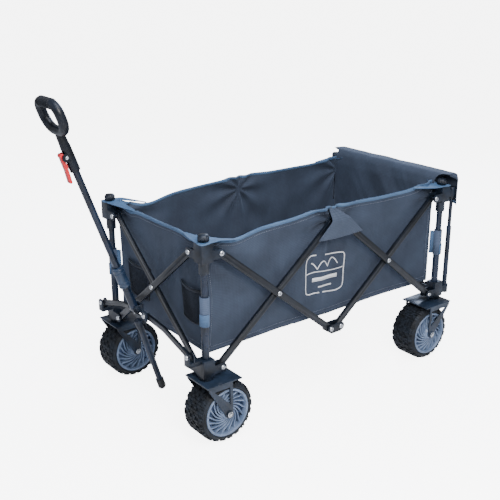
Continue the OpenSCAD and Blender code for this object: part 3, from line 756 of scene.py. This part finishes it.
side_sheets = {}
for side, left in SIDES:
    bm = sheet_grid(220, 84, side_wall(left), 2 * wall_x, 0.34)
    if left > 0:
        bmesh.ops.reverse_faces(bm, faces=bm.faces)
    made = soft_piece("side_wall_" + side, bm, oxford, side)
    thicken(made, CLOTH)
    side_sheets[side] = made
    print(made.name, len(made.data.polygons))

# %% [markdown]
# ## Front wall, rear wall and floor
# The front wall hangs between the two front castings and carries two net pockets. The rear wall is
# longer: it rises above the castings, folds over the guide posts and hangs down outside them, with
# upright creases where it is gathered. The floor is five boards in a cloth sleeve, one per fold.


# %% Front and rear walls
def front_top(t):
    """Height of the front wall's rim at t from -1 on the right to 1 on the left."""
    return top_z - 14 * MM - 13 * MM * (1 - t * t) - 12 * MM * math.exp(-((abs(t) - 0.72) / 0.16) ** 2)


def front_wall(lift=0.0):
    """The place function of the front wall."""
    def place(u, v):
        t = 2 * u - 1
        z = floor_z + 1 * MM + (front_top(t) - floor_z - 1 * MM) * v
        y = t * (wall_y - 6 * MM * math.sin(math.pi * v) ** 2 * abs(t) ** 6)
        loose = math.cos(math.pi * t / 2) * math.sin(math.pi * v) ** 0.7
        folds = sum(7 * MM * fan(y, z, s * wall_y, high_z, 0.12, 7) for s in (-1, 1))
        folds += 8 * MM * ripple(y, z, 10, 3, 14) * max(0, loose)
        out = held_in(folds - 5 * MM * loose, 2.5 * MM)
        return Vector((x_mid + wall_x + out + lift, y, z))
    return place


def rear_line(v):
    """The rear wall's section: the point at v along it, from the floor seam, up, over and down outside."""
    inner = rear_x + (side_y - wall_y)
    outer = basket_low.x + 1 * MM
    crown = basket_high.z + 1 * MM
    points = [(inner, floor_z), (inner, crown - 46 * MM), (inner - 8 * MM, crown - 14 * MM),
              (inner - 26 * MM, crown), (outer + 22 * MM, crown - 1 * MM), (outer + 4 * MM, crown - 8 * MM),
              (outer, crown - 26 * MM), (outer + 3 * MM, crown - 114 * MM)]
    steps = [math.dist(points[i], points[i - 1]) for i in range(1, len(points))]
    want = v * sum(steps)
    for i, step in enumerate(steps):
        if want <= step or i == len(steps) - 1:
            share = min(1, want / step)
            return [points[i][k] + (points[i + 1][k] - points[i][k]) * share for k in (0, 1)]
        want -= step
    return points[-1]


TUCK = 0.96


def rear_wall(u, v):
    """The place function of the rear wall and its overhang."""
    t = 2 * u - 1
    x, z = rear_line(v)
    over = 0.3 * min(1, max(0, (z - top_z + 2 * MM) / (30 * MM)))
    over += (1 - over) * min(1, max(0, (rear_x - x) / (24 * MM)))
    y = t * (wall_y + over * 38 * MM)
    crease = ripple(y + 0.7 * (z - top_z), z, 14, 2, 21) * math.sin(math.pi * (t + 1) / 2) ** 0.5
    hang = 0.8 if x < rear_x - 30 * MM else 1.5
    shift = crease * 6 * MM * hang * min(1, v * 4)
    drop = 8 * MM * math.sin(t * 5 + 1) * max(0, v - 0.8) * 5
    tuck = max(0, (abs(t) - TUCK) / (1 - TUCK))
    above = min(1, max(0, (z - top_z + 6 * MM) / (14 * MM)))
    reach_in = basket_low.x + 20 * MM
    reach_in += (rear_x - 8 * MM - reach_in) * above
    if x < reach_in:
        x += (reach_in - x) * tuck ** 2
    if x > rear_x - 30 * MM:
        return Vector((x + max(-6 * MM, shift) + 2 * MM, y, z + (0.4 * crease * 5 * MM if over else 0)))
    return Vector((x - max(-4 * MM, shift), y, z - drop))


bm = sheet_grid(110, 80, front_wall(), 2 * wall_y, 0.33)
front_sheet = thicken(soft_piece("front_wall", bm, oxford, "front"), CLOTH)
bm = sheet_grid(150, 100, rear_wall, 2 * wall_y, 0.56)
for _ in range(2):
    bmesh.ops.smooth_vert(bm, verts=bm.verts, factor=0.5, use_axis_x=True, use_axis_z=True)
rear_sheet = thicken(soft_piece("rear_wall", bm, oxford, "rear"), CLOTH)
print(front_sheet.name, rear_sheet.name)

# %% Floor in five boards
FOLDED_HALF = wall_x * FOLD_X
cuts = [("front_end", wall_x - 2 * FOLDED_HALF, wall_x - 2 * MM, "corner_top_fl", 3 * MM),
        ("front_strip", FOLDED_HALF, wall_x - 2 * FOLDED_HALF, "bar_left_front_outer", 1.5 * MM),
        ("middle", -FOLDED_HALF, FOLDED_HALF, "link_left_top", 0),
        ("rear_strip", -wall_x + 2 * FOLDED_HALF, -FOLDED_HALF, "bar_left_rear_outer", 1.5 * MM),
        ("rear_end", -wall_x + 2 * MM, -wall_x + 2 * FOLDED_HALF, "corner_top_rl", 6 * MM)]
for name, start, stop, body, rise in cuts:
    def board(u, v, start=start, stop=stop, rise=rise):
        """A board's cloth, slightly crowned."""
        crown = 1.5 * MM * math.sin(math.pi * u) * math.sin(math.pi * v)
        y = (2 * v - 1) * (wall_y - 2 * MM)
        return Vector((x_mid + start + (stop - start) * u, y, floor_z + 2 * MM + rise + crown))
    bm = sheet_grid(max(4, round((stop - start) * 60)), 30, board, stop - start, 2 * wall_y)
    made = piece("floor_" + name, bm, oxford, body)
    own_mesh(made)
    thicken(made, 2 * MM, 1.0)

# %% [markdown]
# ## Sewing
# What makes cloth look made is its edges: the rim is bound with tape, the corners carry a coated
# patch that goes over the casting and under its knob, and thread runs beside each seam. All of it
# is laid on the same place functions as the panels, so it follows every fold of the cloth.


# %% Seams, tape and stitches
NEAR = 0.002
AHEAD = 0.01
RIM_V = 0.985


def seam(place, line, steps, lift=0.0):
    """The path of a seam on a sheet: line(s) gives the place on the sheet for s from 0 to 1."""
    path = []
    for i in range(steps + 1):
        u, v = line(i / steps)
        along_u = place(min(1, u + NEAR), v) - place(max(0, u - NEAR), v)
        along_v = place(u, min(1, v + NEAR)) - place(u, max(0, v - NEAR))
        out = along_u.cross(along_v).normalized()
        ahead = place(*line(min(1, i / steps + AHEAD))) - place(*line(max(0, i / steps - AHEAD)))
        path.append((place(u, v) + out * lift, ahead.cross(out).normalized(), out))
    return path


def tape(name, place, line, steps, width, thick, wall, material=tape_cloth, lift=0.0, closed=False):
    """A flat tape sewn along a line of a sheet."""
    bm = bmesh.new()
    path = seam(place, line, steps, lift)
    sweep(bm, path[:-1] if closed else path, flat_section(width, thick), closed)
    return soft_piece(name, outward(bm), material, wall)


def stitches(name, place, lines, wall, out_side, spacing=6 * MM):
    """Rows of thread, each stitch a small bar that lies on the cloth."""
    bm = bmesh.new()
    bm.loops.layers.uv.verify()
    for line in lines:
        rough = seam(place, line, 60)
        length = sum((rough[i][0] - rough[i - 1][0]).length for i in range(1, len(rough)))
        steps = max(4, int(length / spacing))
        path = seam(place, line, steps, out_side * 1.1 * MM)
        for i in range(1, steps):
            point, across, out = path[i]
            ahead = (path[i + 1][0] - path[i - 1][0]).normalized()
            turn = Matrix((ahead, across, out)).transposed().to_4x4()
            scale = Matrix.Diagonal((spacing * 0.62, 0.9 * MM, 0.7 * MM, 1))
            bmesh.ops.create_cube(bm, size=1.0, matrix=Matrix.Translation(point) @ turn @ scale)
    return soft_piece(name, bm, thread_nylon, wall)


seams = 0
for side, left in SIDES:
    place = side_wall(left)
    tape("rim_tape_" + side, place, lambda s: (0.004 + 0.992 * s, RIM_V), 150, 10 * MM, 3.0 * MM, side)
    tape("hem_tape_" + side, place, lambda s: (0.004 + 0.992 * s, 0.018), 110, 10 * MM, 2.6 * MM, side, oxford)
    rows = [lambda s: (0.01 + 0.98 * s, 0.945), lambda s: (0.01 + 0.98 * s, 0.05),
            lambda s: (0.012, 0.05 + 0.9 * s), lambda s: (0.988, 0.05 + 0.9 * s)]
    stitches("stitches_" + side, place, rows, side, -left)
    seams += 3
place = front_wall()
tape("rim_tape_front", place, lambda s: (0.01 + 0.98 * s, RIM_V), 80, 10 * MM, 3.0 * MM, "front")
stitches("stitches_front", place, [lambda s: (0.02 + 0.96 * s, 0.945), lambda s: (0.02 + 0.96 * s, 0.05)],
         "front", 1)
tape("hem_tape_rear", rear_wall, lambda s: (0.005 + 0.99 * s, 0.992), 90, 10 * MM, 2.4 * MM, "rear")
stitches("stitches_rear", rear_wall, [lambda s: (0.01 + 0.98 * s, 0.97), lambda s: (0.01 + 0.98 * s, 0.955)],
         "rear", -1)
print("taped and stitched seams", seams + 4)

# %% Corner patches
PATCH_REACH = 118 * MM
EDGE_STEPS = 40


def along_points(points, s):
    """The point at share s of the way along some points."""
    spot = s * (len(points) - 1)
    i = min(int(spot), len(points) - 2)
    return points[i] + (points[i + 1] - points[i]) * (spot - i)


for corner in CORNERS:
    fore, left = signs(corner)
    reach = PATCH_REACH
    reach_end, bend_in, bend_out = (reach, 70 * MM, 45 * MM) if fore > 0 else (48 * MM, 40 * MM, 36 * MM)
    gap = side_y - wall_y
    end_side = side_top(fore * (1 - (reach - gap) / wall_x)) + 1 * MM
    end_front = front_top(1 - (reach - gap) / wall_y) + 1 * MM if fore > 0 else knob_z + 8 * MM
    deck = knob_z - 2.2 * MM
    over = 22.5 * MM
    inner = [Vector((reach, gap + 1 * MM, end_side)), Vector((0.07, gap + 2 * MM, (end_side + deck) / 2)),
             Vector((gap + 6 * MM, gap + 6 * MM, deck + 3 * MM)),
             Vector((gap + 2 * MM, bend_in, (end_front + deck) / 2)),
             Vector((gap + 1 * MM, reach_end, end_front))]
    outer = [Vector((reach, gap - 3 * MM, end_side - 2 * MM)), Vector((0.045, -over * 0.55, deck - 2 * MM)),
             Vector((-over, -over, deck - 2 * MM)), Vector((-over * 0.55, bend_out, deck - 2 * MM)),
             Vector((gap - 3 * MM, reach_end, end_front - 2 * MM))]

    def patch(u, v, inner=inner, outer=outer, corner=corner, fore=fore, left=left):
        """A corner patch: u runs round the corner and v from the rim out over the casting."""
        spot = along_points(inner, u) * (1 - v) + along_points(outer, u) * v
        return Vector((post[corner].x - fore * spot.x, post[corner].y - left * spot.y, spot.z))

    bm = sheet_grid(44, 12, patch, 0.24, 0.06)
    for _ in range(3):
        bmesh.ops.smooth_vert(bm, verts=bm.verts, factor=0.5, use_axis_x=True, use_axis_y=True, use_axis_z=True)
    if fore * left > 0:
        bmesh.ops.reverse_faces(bm, faces=bm.faces)
    made = piece("corner_patch_" + corner, bm, patch_cloth, "corner_top_" + corner)
    thicken(made, 1.2 * MM)
    bm = bmesh.new()
    edge = [patch(i / EDGE_STEPS, 1.0) for i in range(EDGE_STEPS + 1)]
    for _ in range(3):
        eased = [(edge[i - 1] + edge[i] * 2 + edge[i + 1]) / 4 for i in range(1, EDGE_STEPS)]
        edge = [edge[0]] + eased + [edge[-1]]
    path = []
    for i, spot in enumerate(edge):
        ahead = (edge[min(EDGE_STEPS, i + 1)] - edge[max(0, i - 1)]).normalized()
        path.append((spot, ahead.cross(UP).normalized(), UP))
    sweep(bm, path, round_section(1.9 * MM))
    piece("corner_piping_" + corner, outward(bm), tape_cloth, "corner_top_" + corner)

# %% Flaps over the top links
link_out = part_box("link_left_top")[1].y
for side, left in SIDES:
    def flap(u, v, left=left):
        """A cape over the link: narrow at the rim, wide below, falling outside the bars' ends."""
        t = 2 * u - 1
        top = side_top(0) - 1 * MM
        low = high_z - 41 * MM + 4 * MM * t * t
        half = 5 * MM + 84 * MM * v
        start = side_wall(left)(0.5, 1.0).y * left
        lean = min(1, v * 2.4)
        out = start + (link_out + 3 * MM - start) * lean * lean * (3 - 2 * lean)
        out += 2 * MM * ripple(t, v, 2.2, 1.2, 31 + left)
        return Vector((x_mid + t * half, left * out, top + (low - top) * v))
    bm = sheet_grid(36, 26, flap, 0.12, 0.085)
    if left < 0:
        bmesh.ops.reverse_faces(bm, faces=bm.faces)
    thicken(soft_piece("link_flap_" + side, bm, flap_cloth, side), 1.2 * MM)
    edges = [lambda s: (0.03, 0.02 + 0.96 * s), lambda s: (0.97, 0.02 + 0.96 * s), lambda s: (0.03 + 0.94 * s, 0.97)]
    stitches("flap_stitches_" + side, flap, edges, side, -left, 4.5 * MM)

# %% [markdown]
# ## Straps, net pockets and the print
# Hook-and-loop straps tie the cloth to the lower post tubes. The front wall has two net pockets with
# an elastic top. The side print is a plain outlined panel with peaks and two bars, and no lettering.

# %% Straps round the posts
WRAP_LOW, WRAP_HIGH = 353 * MM, 438 * MM
WRAP_STEPS = 40
wrap_mid = (WRAP_LOW + WRAP_HIGH) / 2
for corner in CORNERS:
    fore, left = signs(corner)
    tube = middle("post_tube_" + corner)
    tube_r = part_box("post_tube_" + corner)[1].x - tube.x
    axis = Vector((tube.x, tube.y, wrap_mid))
    round_post = []
    for i in range(WRAP_STEPS):
        away = Vector((math.cos(math.tau * i / WRAP_STEPS), math.sin(math.tau * i / WRAP_STEPS), 0))
        round_post.append((axis + away * (tube_r + 1.5 * MM), UP, away))
    ring = sweep(bmesh.new(), round_post, flat_section(WRAP_HIGH - WRAP_LOW, 1.6 * MM), True)
    piece("post_strap_" + corner, outward(ring), strap_cloth, "corner_top_" + corner)
    bm = bmesh.new()
    centre = Vector((tube.x, tube.y, 372 * MM))
    path = []
    for i in range(17):
        turn = math.radians(-20 + 130 * i / 16)
        away = Vector((fore * math.cos(turn), left * math.sin(turn), 0))
        path.append((centre + away * (tube_r + 3.4 * MM), UP, away))
    sweep(bm, path, flat_section(34 * MM, 1.5 * MM))
    back = Vector((-fore, -left, 0)).normalized()
    tab = [(axis + back * (tube_r + d * MM), UP, back.cross(UP)) for d in (1, 6, 11, 15)]
    sweep(bm, tab, flat_section(78 * MM, 1.5 * MM))
    piece("strap_tail_" + corner, outward(bm), tape_cloth, "corner_top_" + corner)
print("straps on", len(CORNERS), "posts")

# %% Net pockets
for name, start, stop, low, high in (("left", 106 * MM, 213 * MM, 335 * MM, 438 * MM),
                                     ("right", -190 * MM, -60 * MM, 315 * MM, 418 * MM)):
    base = front_wall()

    def pocket(u, v, start=start, stop=stop, low=low, high=high, base=base):
        """A net pocket: flat at its sides and foot, standing off the wall at its mouth."""
        foot = 7 * MM * math.sin(math.pi * u)
        y = start + (stop - start) * (0.5 + (u - 0.5) * (0.82 + 0.18 * v))
        z = low - foot * (1 - v) + (high - low) * v - 6 * MM * math.sin(math.pi * u) * v
        t = y / wall_y
        spot = base((t + 1) / 2, (z - floor_z - 1 * MM) / (front_top(t) - floor_z - 1 * MM))
        bulge = 9 * MM * math.sin(math.pi * u) ** 0.6 * min(1, 0.15 + 1.6 * v)
        limit = x_mid + half_x - 6.5 * MM
        return Vector((min(limit, spot.x + 1.5 * MM + bulge), y, z))

    bm = sheet_grid(30, 28, pocket, stop - start, high - low)
    net = soft_piece("net_pocket_" + name, bm, net_cloth, "front")
    wire = net.modifiers.new("net", "WIREFRAME")
    wire.thickness = 1.1 * MM
    wire.use_even_offset = False
    for part, line, width in (("mouth", lambda s: (s, RIM_V), 9 * MM), ("foot", lambda s: (s, 0.015), 6 * MM),
                              ("edge_a", lambda s: (0.01, s), 6 * MM), ("edge_b", lambda s: (0.99, s), 6 * MM)):
        tape(f"pocket_{part}_{name}", pocket, line, 30, width, 2.2 * MM, "front", net_cloth)
print("net pockets made")

# %% Side print
PRINT_HALF_W = 78 * MM
PRINT_HALF_H = 60 * MM
print_x = x_mid + 15 * MM
print_z = 391 * MM
left_wall = side_wall(1)


def on_wall(x, z):
    """The place on the left wall's sheet at x and z."""
    t = (x - x_mid) / wall_x
    return (t + 1) / 2, (z - side_bottom(t)) / (side_top(t) - side_bottom(t))


def outline(s):
    """A rounded, slightly waved frame."""
    a = s * math.tau
    c, d = math.cos(a), math.sin(a)
    x = PRINT_HALF_W * math.copysign(abs(c) ** 0.22, c)
    z = PRINT_HALF_H * math.copysign(abs(d) ** 0.22, d)
    return on_wall(print_x + x, print_z + z + 5 * MM * math.sin(x / PRINT_HALF_W * 2.6))


marks = [("frame", outline, 160, 4 * MM, True),
         ("divider", lambda s: on_wall(print_x + (2 * s - 1) * PRINT_HALF_W * 0.96,
                                       print_z + 8 * MM + 5 * MM * math.sin((2 * s - 1) * 2.6)), 40, 3 * MM, False),
         ("peaks", lambda s: on_wall(print_x + (2 * s - 1) * PRINT_HALF_W * 0.7,
                                     print_z + 20 * MM + 22 * MM * abs(math.sin(s * math.pi * 2.5))),
          80, 3.4 * MM, False),
         ("bar_a", lambda s: on_wall(print_x + (2 * s - 1) * PRINT_HALF_W * 0.66, print_z - 17 * MM + 6 * MM * s),
          30, 12 * MM, False),
         ("bar_b", lambda s: on_wall(print_x + (2 * s - 1) * PRINT_HALF_W * 0.36, print_z - 41 * MM + 3 * MM * s),
          20, 5 * MM, False)]
for name, line, steps, width, closed in marks:
    tape("print_" + name, left_wall, line, steps, width, 0.5 * MM, "left", print_ink, -1.5 * MM, closed)
print("print marks", len(marks))

# %% [markdown]
# ## Handle
# The grip is a nylon loop with a rubber skin ribbed for the fingers. The red lever turns on a bolt
# through the housing below the loop. It moves alone: the sliding tube has no latch here.

# %% Grip ribs, lever and bolts
hinge = pivot["handle_tilt"]
slide = next(j for j in frame["joints"] if j["name"] == "handle_slide")
rise = Vector(slide["axis"]).normalized()
if rise.z < 0:
    rise = -rise
bar_r = 13 * MM
RIB_PITCH = 7.5 * MM
COLLAR_RIBS_UP = (84, 96, 128, 140)
bar_mid = hinge + rise * ((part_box("grip")[1].z - bar_r - hinge.z) / rise.z)
bm = bmesh.new()
for i in range(-4, 5):
    ring = spun([(bar_r - 0.5 * MM, -2.4 * MM), (bar_r + 1.0 * MM, -1.4 * MM), (bar_r + 1.5 * MM, 0),
                 (bar_r + 1.0 * MM, 1.4 * MM), (bar_r - 0.5 * MM, 2.4 * MM)], 32)
    moved(ring, bar_mid + Vector((0, i * RIB_PITCH, 0)))
    holder = bpy.data.meshes.new("ring")
    ring.to_mesh(holder)
    ring.free()
    bm.from_mesh(holder)
    bpy.data.meshes.remove(holder)
piece("grip_ribs", bm, grip_rubber, "handle_inner")
paint(frame["nodes"]["grip"], grip_shell)
soft_copy("trigger", red_nylon, 1.4 * MM)
lever_pin = pivot["trigger_squeeze"]
for name, way in SIDES:
    rivet("trigger_bolt_" + name, lever_pin + Vector((0, way * 12.4 * MM, 0)), (0, way, 0), "handle_inner", 5.5 * MM)
for i, at in enumerate(COLLAR_RIBS_UP):
    ring = spun([(15.5 * MM, -2 * MM), (17.0 * MM, -1.2 * MM), (17.0 * MM, 1.2 * MM), (15.5 * MM, 2 * MM)], 48, "Z")
    turned(ring, rise)
    piece(f"collar_rib_{i}", moved(ring, hinge + rise * at * MM), collar_plastic, "handle_outer")
lug_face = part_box("corner_low_fl")[1].x - HEAD_SEAT
for side in ("left", "right"):
    spot = pivot[f"arm_{side}_lift"]
    rivet("arm_bolt_" + side, (lug_face, spot.y, spot.z), (1, 0, 0), "corner_low_f" + side[0])
level = pivot["arm_left_level"]
rivet("coupler_bolt_left", (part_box("arm_right")[1].x - HEAD_SEAT, level.y, level.z), (1, 0, 0), "coupler")
rivet("coupler_bolt_right", (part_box("arm_right")[1].x - HEAD_SEAT, -level.y, level.z), (1, 0, 0), "arm_right")
print("handle details made")

# %% [markdown]
# ## Hide the CAD basket
# The sewn panels stand for the CAD basket, so it is hidden.

# %% Hide the CAD basket
for side, made in side_sheets.items():
    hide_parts("basket")

# %% [markdown]
# ## Floor and light
# A plain pale floor, a soft key from the front left, a large cool light overhead, a fill and a rim
# light. The floor and the sky look brighter to the camera than the light they give, so the backdrop
# is white and the wagon keeps its contrast.

# %% Stage and lights
FLOOR_SIZE = 60
FLOOR_GLOW = 6.0
SKY_LIGHT, SKY_SEEN = 0.45, 7.0
bm = bmesh.new()
bmesh.ops.create_grid(bm, x_segments=1, y_segments=1, size=FLOOR_SIZE)
mesh = bpy.data.meshes.new("studio_floor")
bm.to_mesh(mesh)
bm.free()
ground = bpy.data.objects.new("studio_floor", mesh)
bpy.context.scene.collection.objects.link(ground)
floor_paint, floor_tree, floor_shader = finish("pale_studio_floor", roughness=0.9)
floor_shader.inputs["Base Color"].default_value = linear("f6f6f7")
floor_shader.inputs["Emission Color"].default_value = linear("ffffff")
seen = add(floor_tree, "ShaderNodeLightPath")
glow = add(floor_tree, "ShaderNodeMath", {"operation": "MULTIPLY"}, links={0: seen.outputs["Is Camera Ray"]})
glow.inputs[1].default_value = FLOOR_GLOW
floor_tree.links.new(glow.outputs[0], floor_shader.inputs["Emission Strength"])
mesh.materials.append(floor_paint)
world = bpy.data.worlds.new("studio")
world.use_nodes = True
sky = world.node_tree.nodes["Background"]
sky.inputs["Color"].default_value = linear("f4f7fc")
world_seen = add(world.node_tree, "ShaderNodeLightPath")
backdrop = spread(world.node_tree, world_seen.outputs["Is Camera Ray"], SKY_LIGHT, SKY_SEEN)
world.node_tree.links.new(backdrop, sky.inputs["Strength"])
bpy.context.scene.world = world


def area_light(name, place, target, size, power, colour):
    """A square soft box that faces a target."""
    data = bpy.data.lights.new(name, "AREA")
    data.size = size
    data.energy = power
    data.color = linear(colour)[:3]
    made = bpy.data.objects.new(name, data)
    made.location = place
    made.rotation_euler = (Vector(target) - Vector(place)).to_track_quat("-Z", "Y").to_euler()
    bpy.context.scene.collection.objects.link(made)


area_light("key", (0.75, 1.7, 1.6), (0.45, 0.25, 0.4), 0.7, 52, "fffaf5")
area_light("top", (0.3, 0.9, 2.8), (0, -0.1, 0.4), 1.6, 70, "eaf1ff")
area_light("fill", (2.6, -0.6, 1.6), (0, 0, 0.4), 2.0, 12, "dfe9ff")
area_light("rim", (-2.4, -1.6, 2.2), (0, 0, 0.5), 1.2, 60, "cfe0ff")
print("stage ready")
